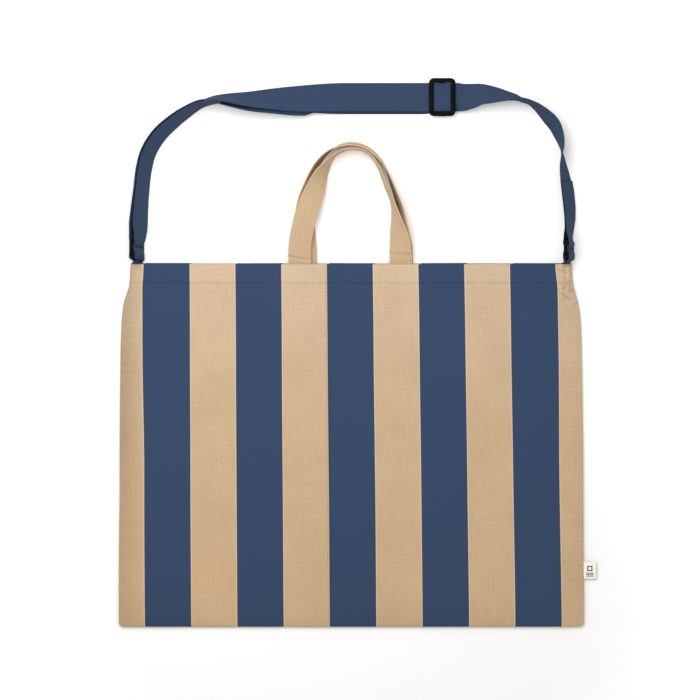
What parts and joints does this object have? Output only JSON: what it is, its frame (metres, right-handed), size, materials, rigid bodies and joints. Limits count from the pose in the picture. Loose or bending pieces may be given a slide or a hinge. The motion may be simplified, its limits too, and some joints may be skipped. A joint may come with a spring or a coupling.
{
  "type": "large canvas carrying sack",
  "caption": "Large flat-laid striped canvas sack with an open hemmed mouth, webbing hand handles and an adjustable shoulder strap on rectangular rings.",
  "frame": {"origin": "middle of the back panel's underside, on the surface that the sack lies on", "axes": "+X to the right across the sack, +Y from its bottom seam to its mouth and straps, +Z out of its front, away from the table"},
  "size_m": [0.637, 0.7318, 0.0496],
  "materials": {
    "canvas": "plain-weave sand cotton canvas",
    "printed_canvas": "sand canvas with printed navy stripes",
    "handle_webbing": "sand cotton webbing",
    "thread": "sand sewing thread",
    "strap_webbing": "ribbed navy webbing",
    "strap_thread": "navy sewing thread",
    "black_plastic": "moulded, gloss",
    "label_tape": "woven label tape"
  },
  "bodies": {
    "bag": {"back_panel": "canvas", "back_hem": "canvas", "bottom_seam": "canvas", "side_seam_left": "canvas", "side_seam_right": "canvas", "front_side_left": "canvas", "front_side_right": "canvas", "back_handle_ends": "handle_webbing", "tab_left_tail": "strap_webbing", "tab_right_tail": "strap_webbing", "back_hem_stitching": "thread", "back_handle_stitching": "thread", "tab_stitching": "strap_thread", "side_label_root": "label_tape"},
    "front": {"front_panel": "printed_canvas", "front_hem": "canvas", "front_handle_ends": "handle_webbing", "front_hem_stitching": "thread", "front_handle_stitching": "thread"},
    "front_handle": {"front_handle": "handle_webbing"},
    "back_handle": {"back_handle": "handle_webbing"},
    "strap": {"shoulder_strap": "strap_webbing", "tab_left_loop": "strap_webbing", "tab_right_loop": "strap_webbing", "tab_left_neck": "strap_webbing", "tab_right_neck": "strap_webbing", "strap_end_stitching": "strap_thread", "strap_take_up": "strap_webbing"},
    "ring_left": {"ring_left": "black_plastic"},
    "ring_right": {"ring_right": "black_plastic"},
    "slider": {"slider_frame": "black_plastic", "slider_webbing_loop": "strap_webbing", "slider_loop_stitching": "strap_thread"},
    "label": {"side_label": "label_tape"}
  },
  "joints": [
    {"name": "mouth_open", "type": "hinge", "parent": "bag", "child": "front", "pos_m": [0, -0.2425, 0.0095], "axis": [1, 0, 0], "range_deg": [0, 10]},
    {"name": "front_handle_fold", "type": "hinge", "parent": "front", "child": "front_handle", "pos_m": [0, 0.2455, 0.01], "axis": [1, 0, 0], "range_deg": [0, 150]},
    {"name": "back_handle_fold", "type": "hinge", "parent": "bag", "child": "back_handle", "pos_m": [0, 0.2455, 0.0005], "axis": [1, 0, 0], "range_deg": [-165, 0]},
    {"name": "strap_swing", "type": "hinge", "parent": "bag", "child": "strap", "pos_m": [0, 0.246, 0.0105], "axis": [1, 0, 0], "range_deg": [0, 90], "deforming": ["tab_left_neck", "tab_right_neck"]},
    {"name": "ring_left_tilt", "type": "hinge", "parent": "strap", "child": "ring_left", "pos_m": [-0.285, 0.261, 0.025], "axis": [0.2419, 0, -0.9703], "range_deg": [-3, 3]},
    {"name": "ring_right_tilt", "type": "hinge", "parent": "strap", "child": "ring_right", "pos_m": [0.2887, 0.261, 0.025], "axis": [0.2672, 0, -0.9636], "range_deg": [-3, 3]},
    {"name": "slider_slide", "type": "slide", "parent": "strap", "child": "slider", "axis": [1, 0, 0], "range_m": [-0.085, 0.001], "deforming": ["strap_take_up"]},
    {"name": "label_flip", "type": "hinge", "parent": "bag", "child": "label", "pos_m": [0.311, -0.1675, 0.0034], "axis": [0, -1, 0], "range_deg": [0, 90]}
  ]
}
